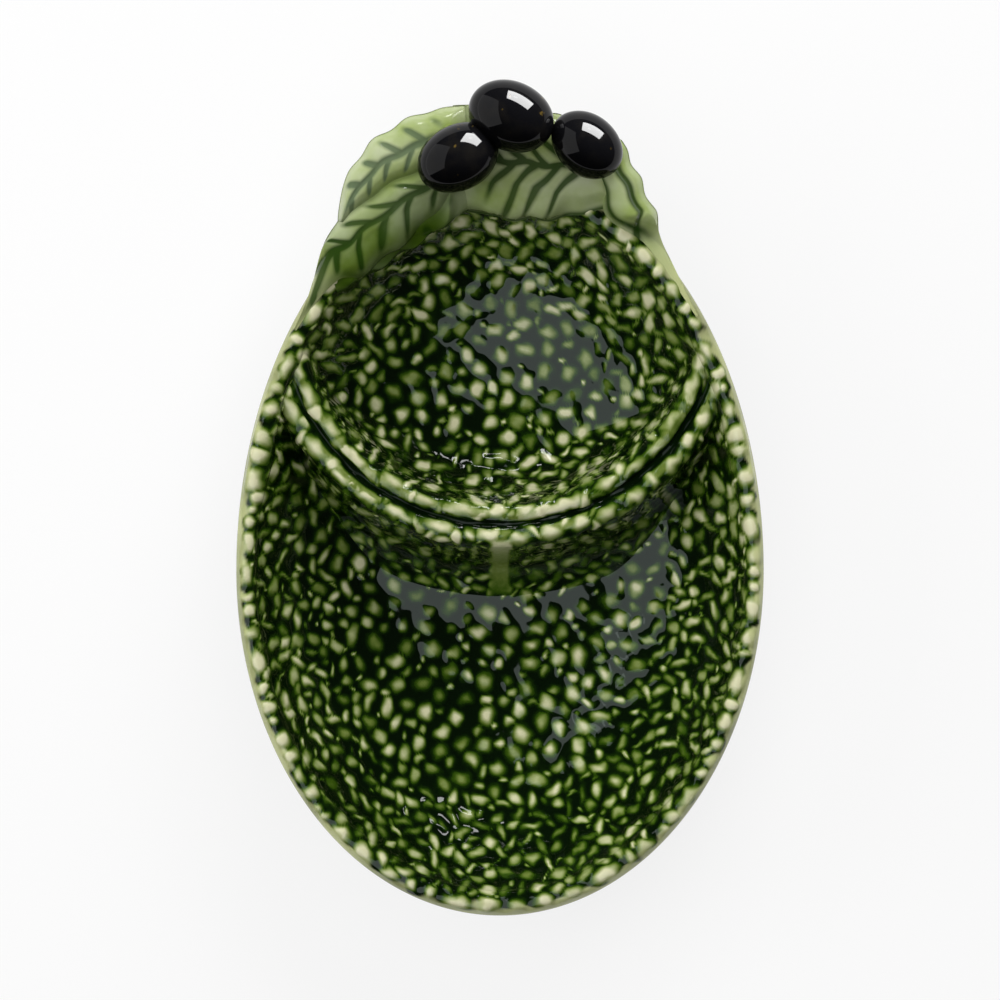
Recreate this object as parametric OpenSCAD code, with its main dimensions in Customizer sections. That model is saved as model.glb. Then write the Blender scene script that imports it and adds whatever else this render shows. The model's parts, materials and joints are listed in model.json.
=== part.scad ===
// Olive dish: an egg-shaped glazed earthenware dish with a well for olives, a
// smaller well for their stones, and a sprig of leaves and olives at its back end.
// Millimetres. +Y runs to the sprig, +Z is up, and the dish stands on z = 0.

/* [Dish] */
// Width of the dish across the rim
dish_w = 136; // [110:1:170]
// Length of the rim from its widest line to the front end
front_len = 89; // [75:1:110]
// Length of the rim from its widest line to the back end
back_len = 103; // [90:1:125]
// Height of the rim above the table
rim_h = 36; // [30:1:46]
// Thickness of the wall and the floor
wall = 4.6; // [3.6:0.2:6]
// How far the bead on the rim stands proud of the wall, on each side
bead_proud = 0.15; // [0.1:0.05:0.4]
// Width of the flat floor at the widest line
floor_w = 54; // [44:1:62]

/* [Foot] */
// Height of the foot ring
foot_h = 4.5; // [3:0.25:7]
// Width of the foot ring's section
foot_w = 6; // [4:0.5:9]
// Bevel on the foot ring's lower edges
foot_bevel = 1; // [0.5:0.1:1.5]

/* [Divider] */
// Radius of the divider's curve in plan, at its seam
divider_r = 57.4; // [52:0.5:64]
// Distance of the divider's seam behind the widest line, on the centre line
divider_back = 11.6; // [4:0.5:18]
// Drop from the middle of the rim's bead to the divider's crest
divider_drop = 0.4; // [0.3:0.1:4]
// Width across the two lips on the divider's crest
divider_top_w = 10.8; // [9:0.2:14]
// Radius of each lip
lip_r = 2.4; // [1.8:0.1:3]
// Depth of the seam between the lips
seam_depth = 2; // [1:0.25:3]
// Slope of the divider's flanks, in degrees
flank_slope = 74; // [66:1:82]
// Radius of the hollow curve where a flank meets the floor
flank_fillet = 14; // [10:0.5:16]

/* [Leaves] */
// Height of the waves along a leaf's margin
leaf_wave = 0.5; // [0:0.1:1]
// Thickness of a leaf beside its midrib
leaf_t = 4; // [3.4:0.2:6]
// Thickness of a leaf at its margin
leaf_edge_t = 2.2; // [1.6:0.2:3]
// Depth of the midrib's groove
midrib_depth = 0.7; // [0.3:0.1:1.2]
// Upward slope of the leaves outside the rim, in degrees
leaf_rise = 7; // [0:1:14]

/* [Olives] */
// Length of the largest olive
olive_len = 22.6; // [18:0.2:25]
// Thickness of the largest olive
olive_d = 17.8; // [14:0.2:19]
// Depth to which an olive is pressed into its leaf
olive_sink = 2.2; // [1:0.2:2.8]

/* [Fits] */
// Gap between neighbouring leaves
leaf_joint = 0.2; // [0.1:0.05:0.3]
// Gap between a leaf and the clay it lies on
leaf_gap = 0.15; // [0.05:0.05:0.3]
// Gap round a pressed-in olive
olive_gap = 0.15; // [0.05:0.05:0.3]

/* [Hidden] */

glaze_green = "#3f5b24";
divider_green = "#556f33";
leaf_green = "#8fa860";
olive_black = "#141416";
bare_clay = "#d9c9ae";

// Steps of the round shapes
round_steps = 144;

// Wall section: a flat floor, one arc up to the rim, and a bead on the rim
half_w = dish_w / 2;
bead_r = wall / 2 + bead_proud;
rim_r = half_w - bead_r;
rim_z = rim_h - bead_r;
floor_r = floor_w / 2;
floor_z = foot_h + wall;
wall_run = rim_r - floor_r;
wall_rise = rim_z - foot_h - wall / 2;
arc_r = (wall_run ^ 2 + wall_rise ^ 2) / (2 * wall_rise);
arc_z = foot_h + wall / 2 + arc_r;
rim_angle = atan2(wall_run, arc_r - wall_rise);
inner_arc_r = arc_r - wall / 2;
outer_arc_r = arc_r + wall / 2;
// Where the bead starts on the inner side of the wall: its turn about the bead's centre
bead_turn = acos((arc_r ^ 2 + bead_r ^ 2 - inner_arc_r ^ 2) / (2 * arc_r * bead_r));
bead_start_r = rim_r - bead_r * sin(rim_angle + bead_turn);

// The section is revolved, and each half is stretched along Y into half of the egg
front_stretch = front_len / half_w;
back_stretch = back_len / half_w;

// Places of the olives: across and back, as shares of half_w and back_len
olive_place_shares = [[-0.157, 1.023], [0.041, 1.125], [0.326, 1.055]];
// Turn of each olive's long axis from +X, and its size
olive_turns = [207, -24, -40];
olive_size_shares = [0.96, 1, 0.88];

// The top olive ends the dish at the back, and the origin is midway along the whole
top_turn = olive_turns[1];
top_reach = norm([olive_len / 2 * sin(top_turn), olive_d / 2 * cos(top_turn)]);
back_reach = back_len * olive_place_shares[1][1] + top_reach;
wide_y = (front_len - back_reach) / 2;

// Divider: its crest, the centre of its curve, and its flanks down to the floor
crest_z = rim_z - divider_drop;
divider_y = wide_y + divider_back + divider_r;
lip_q = divider_top_w / 2 - lip_r;
lip_z = crest_z - lip_r;
// The hollow curve bites a little into the floor and the flank, so it meets both at an angle
bite_shares = [0.04, 0.02];
flank_z = floor_z - flank_fillet * bite_shares[0];
flank_away = flank_fillet * (1 - bite_shares[1]);
flank_top_q = lip_q + lip_r * sin(flank_slope);
flank_top_z = lip_z + lip_r * cos(flank_slope);
fillet_z = flank_z + flank_fillet;
fillet_q = flank_top_q
    + (flank_away - (fillet_z - flank_top_z) * cos(flank_slope)) / sin(flank_slope);

// The ends of the centre leaf: outer and inner corner of each, as shares of half_w and back_len
left_end_shares = [[-0.155, 1.161], [-0.118, 0.912]];
right_end_shares = [[0.405, 1.107], [0.42, 0.905]];
// Shares of the centre leaf's left end where the margins of the left leaves begin
left_start_shares = [0, 0.45, 0.75, 1];
// Leaf margins: the three further points that bend each one, as shares of half_w and back_len
left_margin_shares = [
    [[-0.353, 1.147], [-0.588, 1.069], [-0.606, 0.904]],
    [[-0.441, 0.962], [-0.691, 0.904], [-0.732, 0.690]],
    [[-0.294, 0.884], [-0.529, 0.758], [-0.713, 0.676]],
    [[-0.25, 0.85], [-0.441, 0.768], [-0.618, 0.695]]
];
centre_margin_shares = [
    [[0.03, 1.178], [0.20, 1.137]],
    [[0.044, 0.865], [0.265, 0.885]]
];
right_margin_shares = [
    [[0.416, 1.01], [0.397, 0.865], [0.65, 0.735]],
    [[0.50, 1.01], [0.575, 0.93], [0.68, 0.743]]
];
// Share of each margin that a leaf follows, where its tip ends before the margin does
upper_tip_share = 0.57;
inner_tip_share = 0.85;
// Waves along a margin
leaf_waves = 4;
along_steps = 16;
// Steps on each side of the midrib, and the share of a side that the midrib's groove takes
side_steps = 8;
groove_share = 0.08;

// Overrun of a cutting shape past what it cuts
overrun = wall;

// A point on the wall's upper side at a radius of the section: its height, and
// the direction that the wall faces there as across and up
function bed(r) =
    r < bead_start_r ? inner_bed(r)
    : r < rim_r ? bead_bed(r)
    : [rim_h + (r - rim_r) * tan(leaf_rise), -sin(leaf_rise), cos(leaf_rise)];
function inner_bed(r) =
    let (z = arc_z - sqrt(inner_arc_r ^ 2 - (r - floor_r) ^ 2))
    [z, (floor_r - r) / inner_arc_r, (arc_z - z) / inner_arc_r];
function bead_bed(r) =
    let (z = rim_z + sqrt(bead_r ^ 2 - (r - rim_r) ^ 2))
    [z, (r - rim_r) / bead_r, (z - rim_z) / bead_r];

// Plan point from shares of half_w and back_len, and the section radius of one
function plan(share) = [half_w * share[0], wide_y + back_len * share[1]];
function section_r(p) = norm([p[0], (p[1] - wide_y) / back_stretch]);

// The point that lies a given height off the wall, square to it, above plan point p
function off_wall(p, height) =
    let (
        r = section_r(p),
        b = bed(r),
        grow = (r + b[1] * height) / r
    )
    [p[0] * grow, wide_y + (p[1] - wide_y) * grow, b[0] + b[2] * height];

// Olives: centre, half-length and half-thickness
function olive_half(i) = [olive_len / 2, olive_d / 2] * olive_size_shares[i];
function olive_centre(i) =
    let (p = plan(olive_place_shares[i]))
    [p[0], p[1], bed(section_r(p))[0] + leaf_gap + leaf_t + olive_half(i)[1] - olive_sink];

// Height of an olive's underside, less its gap, over plan point p, or none
function olive_under(i, p) =
    let (
        c = olive_centre(i),
        h = olive_half(i) + [olive_gap, olive_gap],
        turn = olive_turns[i],
        x = p[0] - c[0],
        y = p[1] - c[1],
        along = (x * cos(turn) + y * sin(turn)) / h[0],
        across = (y * cos(turn) - x * sin(turn)) / h[1],
        left = 1 - along ^ 2 - across ^ 2
    )
    left > 0 ? c[2] - h[1] * sqrt(left) : rim_h + rim_h;
function pressed(p) =
    [p[0], p[1], min(p[2], olive_under(0, p), olive_under(1, p), olive_under(2, p))];

// A margin: a curve through its first and last point, bent by the two between, with waves
function bend(c, t) =
    c[0] * (1 - t) ^ 3 + c[1] * 3 * t * (1 - t) ^ 2 + c[2] * 3 * t ^ 2 * (1 - t) + c[3] * t ^ 3;
function bend_way(c, t) =
    let (d = (c[1] - c[0]) * (1 - t) ^ 2 + (c[2] - c[1]) * 2 * t * (1 - t) + (c[3] - c[2]) * t ^ 2)
    d / norm(d);
function margin(c, t) =
    let (way = bend_way(c, t))
    bend(c, t) + leaf_wave * sin(360 * leaf_waves * t) * sin(180 * t) * [way[1], -way[0]];

// Margins of the left leaves, from outermost to innermost
left_end = [for (share = left_end_shares) plan(share)];
right_end = [for (share = right_end_shares) plan(share)];
left_margins = [
    for (k = [0 : len(left_margin_shares) - 1]) [
        left_end[0] + (left_end[1] - left_end[0]) * left_start_shares[k] - [leaf_joint, 0],
        for (share = left_margin_shares[k]) plan(share)
    ]
];
// Margins of the centre leaf, outer and inner
centre_margins = [
    for (k = [0, 1]) [
        left_end[k],
        for (share = centre_margin_shares[k]) plan(share),
        right_end[k]
    ]
];
// Margins of the right leaf, inner and outer, from the outer corner of the centre leaf
right_margins = [
    for (k = [0, 1]) [
        right_end[0] + [leaf_joint + leaf_edge_t * k, 0],
        for (share = right_margin_shares[k]) plan(share)
    ]
];

// Across a leaf from -1 to 1, with close steps at the midrib's groove
across = [
    for (j = [side_steps : -1 : 1]) -j / side_steps,
    -groove_share, 0, groove_share,
    for (j = [1 : side_steps]) j / side_steps
];

// A leaf lies between two margins, and each is followed for its own share; the joint
// to its neighbours comes off both sides
function leaf_point(leaf, u, v) =
    let (
        a = margin(leaf[0], u * leaf[2]),
        b = margin(leaf[1], u * leaf[3]),
        w = norm(b - a),
        f = leaf_joint / 2 / w + (1 + v) / 2 * (1 - leaf_joint / w)
    )
    a + (b - a) * f;
// Thickness across a leaf: full beside the midrib, thin at the margin, grooved in the middle
function leaf_thick(v) =
    v == 0 ? leaf_t - midrib_depth : leaf_edge_t + (leaf_t - leaf_edge_t) * (1 - v ^ 2);

// A closed slab between two grids of points of the same size
module slab(top, under) {
    rows = len(top);
    cols = len(top[0]);
    count = rows * cols;
    function at(i, j, side) = side * count + i * cols + j;
    points = [for (grid = [top, under]) for (row = grid) for (p = row) p];
    // The edge of the grid, in order round it
    edge = [
        for (i = [0 : rows - 2]) [i, 0],
        for (j = [0 : cols - 2]) [rows - 1, j],
        for (i = [rows - 1 : -1 : 1]) [i, cols - 1],
        for (j = [cols - 1 : -1 : 1]) [0, j]
    ];
    faces = [
        for (i = [0 : rows - 2]) for (j = [0 : cols - 2]) each [
            [at(i, j, 0), at(i + 1, j + 1, 0), at(i + 1, j, 0)],
            [at(i, j, 0), at(i, j + 1, 0), at(i + 1, j + 1, 0)],
            [at(i, j, 1), at(i + 1, j, 1), at(i + 1, j + 1, 1)],
            [at(i, j, 1), at(i + 1, j + 1, 1), at(i, j + 1, 1)]
        ],
        for (k = [0 : len(edge) - 1]) let (
            a = edge[k],
            b = edge[(k + 1) % len(edge)]
        ) each [
            [at(a[0], a[1], 0), at(b[0], b[1], 0), at(b[0], b[1], 1)],
            [at(a[0], a[1], 0), at(b[0], b[1], 1), at(a[0], a[1], 1)]
        ]
    ];
    polyhedron(points, faces, convexity = 6);
}

// Revolves a section and stretches each half of it along Y into an egg
module egg_revolve() {
    translate([0, wide_y, 0]) {
        scale([1, back_stretch, 1]) rotate_extrude(angle = 180, $fn = round_steps) children();
        scale([1, front_stretch, 1]) rotate([0, 0, 180])
            rotate_extrude(angle = 180, $fn = round_steps) children();
    }
}

// The part of the plane below the wall's arc centre, out to the rim's angle
module wall_wedge() {
    reach = 2 * arc_r;
    polygon([[0, 0], [0, -reach], [reach, -reach], reach * [sin(rim_angle), -cos(rim_angle)]]);
}

module wall_section() {
    translate([0, foot_h]) square([floor_r, wall]);
    translate([floor_r, arc_z]) intersection() {
        difference() {
            circle(outer_arc_r, $fn = round_steps);
            circle(inner_arc_r, $fn = round_steps);
        }
        wall_wedge();
    }
    translate([rim_r, rim_z]) circle(bead_r, $fn = round_steps);
}

// The space inside the bowl, up to the divider's crest and a little more
module hollow_section() {
    top_z = crest_z + overrun;
    translate([0, floor_z]) square([floor_r, top_z - floor_z]);
    intersection() {
        translate([floor_r, arc_z]) circle(inner_arc_r, $fn = round_steps);
        translate([floor_r, floor_z]) square([wall_run, top_z - floor_z]);
    }
}

module oval_bowl() {
    color(glaze_green) egg_revolve() wall_section();
}

// The ring's section runs on under the table, and a slab cuts its flat faces
module foot_ring() {
    outer = floor_r;
    inner = floor_r - foot_w;
    color(bare_clay) intersection() {
        egg_revolve() polygon([
            [inner, foot_h + overrun], [inner, foot_bevel], [inner + foot_bevel, 0],
            [inner + foot_bevel, -overrun], [outer - foot_bevel, -overrun],
            [outer - foot_bevel, 0], [outer, foot_bevel], [outer, foot_h + overrun]
        ]);
        translate([-half_w, wide_y - front_len, 0]) cube([dish_w, front_len + back_len, foot_h]);
    }
}

// One side of the divider's section: flank, hollow curve and lip, from the seam outwards
module divider_half() {
    base_z = flank_z - overrun;
    touch = [fillet_q, fillet_z] - flank_away * [sin(flank_slope), cos(flank_slope)];
    difference() {
        polygon([
            [0, base_z], [fillet_q, base_z], [fillet_q, flank_z], touch,
            [flank_top_q, flank_top_z], [lip_q, lip_z], [0, crest_z - seam_depth]
        ]);
        translate([fillet_q, fillet_z]) circle(flank_fillet, $fn = round_steps);
    }
    translate([lip_q, lip_z]) circle(lip_r, $fn = round_steps);
}

module divider() {
    color(divider_green) intersection() {
        translate([0, divider_y, 0]) rotate([0, 0, 180])
            rotate_extrude(angle = 180, $fn = round_steps)
                translate([divider_r, 0]) {
                    divider_half();
                    mirror([1, 0]) divider_half();
                }
        egg_revolve() hollow_section();
    }
}

// A leaf between two margins, each with the share of it that the leaf follows
module leaf_blade(first, second, first_share = 1, second_share = 1) {
    leaf = [first, second, first_share, second_share];
    top = [
        for (i = [0 : along_steps]) [
            for (v = across)
                pressed(off_wall(leaf_point(leaf, i / along_steps, v), leaf_gap + leaf_thick(v)))
        ]
    ];
    under = [
        for (i = [0 : along_steps]) [
            for (v = across) off_wall(leaf_point(leaf, i / along_steps, v), leaf_gap)
        ]
    ];
    color(leaf_green) slab(top, under);
}

module leaf_centre() { leaf_blade(centre_margins[1], centre_margins[0]); }
module leaf_left_upper() { leaf_blade(left_margins[0], left_margins[1], 1, upper_tip_share); }
module leaf_left_lower() { leaf_blade(left_margins[1], left_margins[2]); }
module leaf_left_inner() { leaf_blade(left_margins[2], left_margins[3], inner_tip_share, 1); }
module leaf_right() { leaf_blade(right_margins[0], right_margins[1]); }

// An olive, larger all round by grow
module olive(i, grow = 0) {
    half = olive_half(i) + [grow, grow];
    translate(olive_centre(i)) rotate([0, 0, olive_turns[i]])
        scale([half[0], half[1], half[1]]) sphere(1, $fn = round_steps);
}

// The two lower olives are flattened where the top one is pressed against them
module lower_olive(i) {
    difference() {
        olive(i);
        olive(1, olive_gap);
    }
}

module olive_left() { color(olive_black) lower_olive(0); }
module olive_top() { color(olive_black) olive(1); }
module olive_right() { color(olive_black) lower_olive(2); }

oval_bowl();
foot_ring();
divider();
leaf_centre();
leaf_left_upper();
leaf_left_lower();
leaf_left_inner();
leaf_right();
olive_left();
olive_top();
olive_right();
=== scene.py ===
"""Looks of the olive dish: pebbled green glaze, a sprig of leaves and black olives."""
import json
import math
from collections import namedtuple

import bpy
import numpy as np
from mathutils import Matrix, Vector, kdtree

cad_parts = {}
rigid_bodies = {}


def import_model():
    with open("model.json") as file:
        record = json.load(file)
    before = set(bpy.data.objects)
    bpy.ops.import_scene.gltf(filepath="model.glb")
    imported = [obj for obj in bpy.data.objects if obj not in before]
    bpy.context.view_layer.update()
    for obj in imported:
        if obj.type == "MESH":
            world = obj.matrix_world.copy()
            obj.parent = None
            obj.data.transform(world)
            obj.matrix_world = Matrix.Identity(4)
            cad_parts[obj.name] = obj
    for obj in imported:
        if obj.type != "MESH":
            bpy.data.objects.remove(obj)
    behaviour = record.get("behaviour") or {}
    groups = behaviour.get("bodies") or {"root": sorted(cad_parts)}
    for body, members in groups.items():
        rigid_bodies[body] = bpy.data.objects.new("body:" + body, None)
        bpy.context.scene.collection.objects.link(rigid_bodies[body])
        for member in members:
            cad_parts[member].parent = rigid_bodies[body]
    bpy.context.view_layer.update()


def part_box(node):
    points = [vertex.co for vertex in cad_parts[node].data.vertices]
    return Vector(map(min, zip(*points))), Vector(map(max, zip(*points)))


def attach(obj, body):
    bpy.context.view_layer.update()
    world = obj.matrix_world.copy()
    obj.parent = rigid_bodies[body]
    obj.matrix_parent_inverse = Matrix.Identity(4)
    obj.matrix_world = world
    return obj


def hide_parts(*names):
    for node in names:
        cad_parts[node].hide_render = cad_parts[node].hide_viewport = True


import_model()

# Shapes are worked out in millimetres and written to the meshes in metres
MM = 0.001
random = np.random.default_rng(7)


def node_box(node):
    """Lowest and highest corner of a CAD node, in millimetres."""
    low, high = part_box(node)
    return np.array(low) / MM, np.array(high) / MM


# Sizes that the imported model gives
bowl_low, bowl_high = node_box("oval_bowl")
foot_low, foot_high = node_box("foot_ring")
HALF_W = (bowl_high[0] - bowl_low[0]) / 2
RIM_H = bowl_high[2]
FOOT_H = bowl_low[2]
FLOOR_R = (foot_high[0] - foot_low[0]) / 2
CREST_Z = node_box("divider")[1][2]
floor_share = FLOOR_R / HALF_W
WIDE_Y = (foot_low[1] - floor_share * bowl_low[1]) / (1 - floor_share)
FRONT_STRETCH = (WIDE_Y - bowl_low[1]) / HALF_W
BACK_STRETCH = (bowl_high[1] - WIDE_Y) / HALF_W
BACK_LEN = bowl_high[1] - WIDE_Y

# Wall section, as in the CAD model
WALL = 4.6
BEAD_PROUD = 0.15
BEAD_R = WALL / 2 + BEAD_PROUD
RIM_R = HALF_W - BEAD_R
RIM_Z = RIM_H - BEAD_R
FLOOR_Z = FOOT_H + WALL
wall_run = RIM_R - FLOOR_R
wall_rise = RIM_Z - FOOT_H - WALL / 2
ARC_R = (wall_run**2 + wall_rise**2) / (2 * wall_rise)
ARC_Z = FOOT_H + WALL / 2 + ARC_R
RIM_ANGLE = math.atan2(wall_run, ARC_R - wall_rise)
INNER_R = ARC_R - WALL / 2
OUTER_R = ARC_R + WALL / 2
BEAD_TURN = math.acos((ARC_R**2 + BEAD_R**2 - INNER_R**2) / (2 * ARC_R * BEAD_R))
OUTER_TURN = math.acos((OUTER_R**2 - ARC_R**2 - BEAD_R**2) / (2 * ARC_R * BEAD_R))
BEAD_START_R = RIM_R - BEAD_R * math.sin(RIM_ANGLE + BEAD_TURN)

# Divider section, as in the CAD model
DIVIDER_R = 57.4
DIVIDER_BACK = 11.6
DIVIDER_Y = WIDE_Y + DIVIDER_BACK + DIVIDER_R
DIVIDER_TOP_W = 10.8
LIP_R = 2.4
LIP_Q = DIVIDER_TOP_W / 2 - LIP_R
SEAM_DEPTH = 2.0
FLANK_SLOPE = math.radians(74)
FILLET_R = 14.0


def smooth(low, high, x):
    """Rises smoothly from 0 at low to 1 at high, or falls if low is the larger."""
    t = np.clip((x - low) / (high - low), 0, 1)
    return t * t * (3 - 2 * t)


def bell(x, half_w):
    """A bell curve with its top of 1 at 0."""
    return np.exp(-(x / half_w)**2)


def unit(v):
    """Vectors, scaled to length 1."""
    return v / np.maximum(np.linalg.norm(v, axis=-1, keepdims=True), 1e-9)


def waves(points, length, seed, count=6):
    """A smooth random field of about -1 to 1 with waves of about the given length."""
    rng = np.random.default_rng(seed)
    ways = unit(rng.normal(size=(count, 3))) * 2 * math.pi / length
    ways *= rng.uniform(0.7, 1.4, (count, 1))
    return np.sin(points @ ways.T + rng.uniform(0, 2 * math.pi, count)).sum(axis=1) / math.sqrt(count)


def face_facings(points, faces):
    """Point numbers and facings of the triangles, and then of the quads, among faces."""
    for corners in (3, 4):
        same = np.array([face for face in faces if len(face) == corners], int).reshape(-1, corners)
        a, b, c, d = (points[same[:, k]] for k in (0, 1, 2, -1))
        yield same, np.cross(c - a, d - b)


def outward(points, faces):
    """Faces of a closed mesh, turned so that they face out."""
    volume = sum((points[same[:, 0]] * facing).sum() for same, facing in face_facings(points, faces))
    return faces if volume > 0 else [face[::-1] for face in faces]


def surface_normals(points, faces):
    """Facing of a mesh at each point, from the faces round it."""
    normals = np.zeros_like(points)
    for same, facing in face_facings(points, faces):
        for numbers in same.T:
            np.add.at(normals, numbers, facing)
    return unit(normals)


def new_piece(name, points, faces, attributes, material, slot, node):
    """A smooth-shaded mesh of the dish, with its point attributes, in place of a CAD node."""
    mesh = bpy.data.meshes.new(name)
    mesh.from_pydata((points * MM).tolist(), [], outward(points, faces))
    mesh.validate()
    mesh.shade_smooth()
    for key, values in attributes.items():
        kind, field = ("FLOAT_VECTOR", "vector") if values.ndim == 2 else ("FLOAT", "value")
        data = mesh.attributes.new(key, kind, "POINT").data
        data.foreach_set(field, values.astype(np.float32).ravel())
    mesh.materials.append(material)
    piece = bpy.data.objects.new(name, mesh)
    bpy.context.scene.collection.objects.link(piece)
    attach(piece, "root")
    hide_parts(node)


# The bowl's surface: rings round its axis, with more steps where the rings are wide

FINE_STEP = 0.5
PLAIN_STEP = 2.5
BEAD_STEPS = 26
# How far apart the points of a ring lie inside and outside, and how much longer the egg is than a circle
FINE_SPACING = 0.62
PLAIN_SPACING = 2.0
EGG_LONGER = 1.2
RING_STEPS = [12 * 2**k for k in range(7)]
# Rows outside the rim's crest that are as fine as the inside
ROWS_PAST_CREST = 14


def arc_rows(centre, radius, angles, side):
    """Profile rows on an arc under its centre, facing down.

    A negative radius puts the arc over its centre, and a side of -1 makes it face up.
    """
    across, down = np.sin(angles), np.cos(angles)
    return np.stack([
        centre[0] + radius * across, centre[1] - radius * down, side * across, -side * down,
    ], axis=1)


def wall_profile():
    """Rows of radius, height, facing across and facing up, from the floor over the rim to the base."""
    bead_from = RIM_ANGLE + BEAD_TURN
    bead_to = RIM_ANGLE - math.pi + OUTER_TURN
    inner_end = math.atan2(BEAD_START_R - FLOOR_R, ARC_Z - RIM_Z - BEAD_R * math.cos(bead_from))
    inner = np.linspace(0, inner_end, int(INNER_R * inner_end / FINE_STEP))
    bead = np.linspace(bead_from, bead_to, BEAD_STEPS)[1:-1]
    outer = np.linspace(RIM_ANGLE, 0, int(OUTER_R * RIM_ANGLE / PLAIN_STEP))
    floor_r = np.arange(FINE_STEP, FLOOR_R - FINE_STEP / 2, FINE_STEP)
    base_r = np.arange(FLOOR_R - PLAIN_STEP, 1, -PLAIN_STEP)
    return np.concatenate([
        [(r, FLOOR_Z, 0, 1) for r in floor_r],
        arc_rows((FLOOR_R, ARC_Z), INNER_R, inner, -1),
        arc_rows((RIM_R, RIM_Z), -BEAD_R, bead, -1),
        arc_rows((FLOOR_R, ARC_Z), OUTER_R, outer, 1),
        [(r, FOOT_H, 0, -1) for r in base_r],
    ])


def ring_counts(profile, fine_rows):
    """Steps round each ring: enough for its width, and at most doubled or halved from ring to ring."""
    counts = []
    for i, row in enumerate(profile):
        step = FINE_SPACING if i < fine_rows else PLAIN_SPACING
        wanted = 2 * math.pi * row[0] * EGG_LONGER / step
        counts.append(min((n for n in RING_STEPS if n >= wanted), default=RING_STEPS[-1]))
    for i in range(1, len(counts)):
        counts[i] = max(counts[i], counts[i - 1] // 2)
        counts[i] = min(counts[i], counts[i - 1] * 2)
    for i in range(len(counts) - 2, -1, -1):
        counts[i] = max(counts[i], counts[i + 1] // 2)
    return counts


def egg(r, angle):
    """Plan point on the egg at a section radius and an angle round it, and the stretch there."""
    stretch = np.where(np.sin(angle) >= 0, BACK_STRETCH, FRONT_STRETCH)
    return r * np.cos(angle), WIDE_Y + stretch * r * np.sin(angle), stretch


def join_rings(counts):
    """Faces between rings of the given steps, with a centre point before the first and after the last."""
    starts = np.cumsum([1] + list(counts)).tolist()
    first, last = counts[0], counts[-1]
    faces = [(0, 1 + j, 1 + (j + 1) % first) for j in range(first)]
    for a, b, na, nb in zip(starts, starts[1:], counts, counts[1:]):
        if na == nb:
            faces += [(a + j, b + j, b + (j + 1) % nb, a + (j + 1) % na) for j in range(na)]
            continue
        coarse, fine = (a, b) if na < nb else (b, a)
        few = min(na, nb)
        for j in range(few):
            c0, c1 = coarse + j, coarse + (j + 1) % few
            f0, f1, f2 = fine + 2 * j, fine + 2 * j + 1, fine + (2 * j + 2) % (2 * few)
            wedge = [(c0, f0, f1), (c0, f1, c1), (c1, f1, f2)]
            faces += wedge if na < nb else [face[::-1] for face in wedge]
    a, end = starts[-2:]
    return faces + [(a + (j + 1) % last, a + j, end) for j in range(last)]


def bowl_surface():
    """Points, facings, faces, the row of the profile that each point lies on, and the profile."""
    profile = wall_profile()
    counts = ring_counts(profile, int(np.argmax(profile[:, 1])) + ROWS_PAST_CREST)
    rows = np.repeat(np.arange(len(profile)), counts)
    angle = np.concatenate([np.arange(n) * 2 * math.pi / n for n in counts])
    r, z, across, up = profile[rows].T
    x, y, stretch = egg(r, angle)
    points = np.stack([x, y, z], axis=1)
    facing = unit(np.stack([across * np.cos(angle), across * np.sin(angle) / stretch, up], axis=1))
    points = np.concatenate([[[0, WIDE_Y, FLOOR_Z]], points, [[0, WIDE_Y, FOOT_H]]])
    facing = np.concatenate([[[0, 0, 1]], facing, [[0, 0, -1]]])
    rows = np.concatenate([[0], rows, [len(profile) - 1]])
    return points, facing, join_rings(counts), rows, profile


# The divider's surface: its section, swept along an arc

DIVIDER_STEP = 0.45
DIVIDER_HALF_ANGLE = 1.25
ARC_TRIES = np.linspace(0, math.radians(110), 3000)
# The foot lies a little under the bowl's floor, and the fillets reach a little into the flanks
FOOT_UNDER = 0.3
FILLET_AWAY_SHARE = 0.98
LIP_STEPS = 18
LIP_END = math.radians(165)
SEAM_CLEAR = 0.35


def divider_section():
    """Rows of offset from the seam and height, from the front foot over the two lips to the back foot."""
    lip_z = CREST_Z - LIP_R
    top_q = LIP_Q + LIP_R * math.sin(FLANK_SLOPE)
    top_z = lip_z + LIP_R * math.cos(FLANK_SLOPE)
    fillet_z = FLOOR_Z - FOOT_UNDER + FILLET_R
    below = (fillet_z - top_z) * math.cos(FLANK_SLOPE)
    fillet_q = top_q + (FILLET_R * FILLET_AWAY_SHARE - below) / math.sin(FLANK_SLOPE)
    a = np.linspace(0, FLANK_SLOPE, int(FILLET_R * FLANK_SLOPE / DIVIDER_STEP))
    fillet = np.stack([fillet_q - FILLET_R * np.sin(a), fillet_z - FILLET_R * np.cos(a)], axis=1)
    low, top = fillet[-1], np.array([top_q, top_z])
    steps = int(np.linalg.norm(top - low) / DIVIDER_STEP)
    flank = low + (top - low) * np.linspace(0, 1, steps)[1:-1, None]
    a = np.linspace(math.pi / 2 - FLANK_SLOPE, LIP_END, LIP_STEPS)
    lip = np.stack([LIP_Q + LIP_R * np.cos(a), lip_z + LIP_R * np.sin(a)], axis=1)
    half = np.concatenate([fillet, flank, lip])
    half = half[half[:, 0] > SEAM_CLEAR]
    seam = np.array([[0.0, CREST_Z - SEAM_DEPTH]])
    return np.concatenate([half, seam, half[::-1] * [-1, 1]])


def arc_plan(radius, angle):
    """Plan points at a radius and an angle round the centre of the divider's arc."""
    return np.stack([radius * np.sin(angle), DIVIDER_Y - radius * np.cos(angle)], axis=-1)


def plan_radius(p):
    """Section radius of points, in the front half and the back half of the egg."""
    y = p[..., 1] - WIDE_Y
    return np.hypot(p[..., 0], y / np.where(y >= 0, BACK_STRETCH, FRONT_STRETCH))


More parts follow.
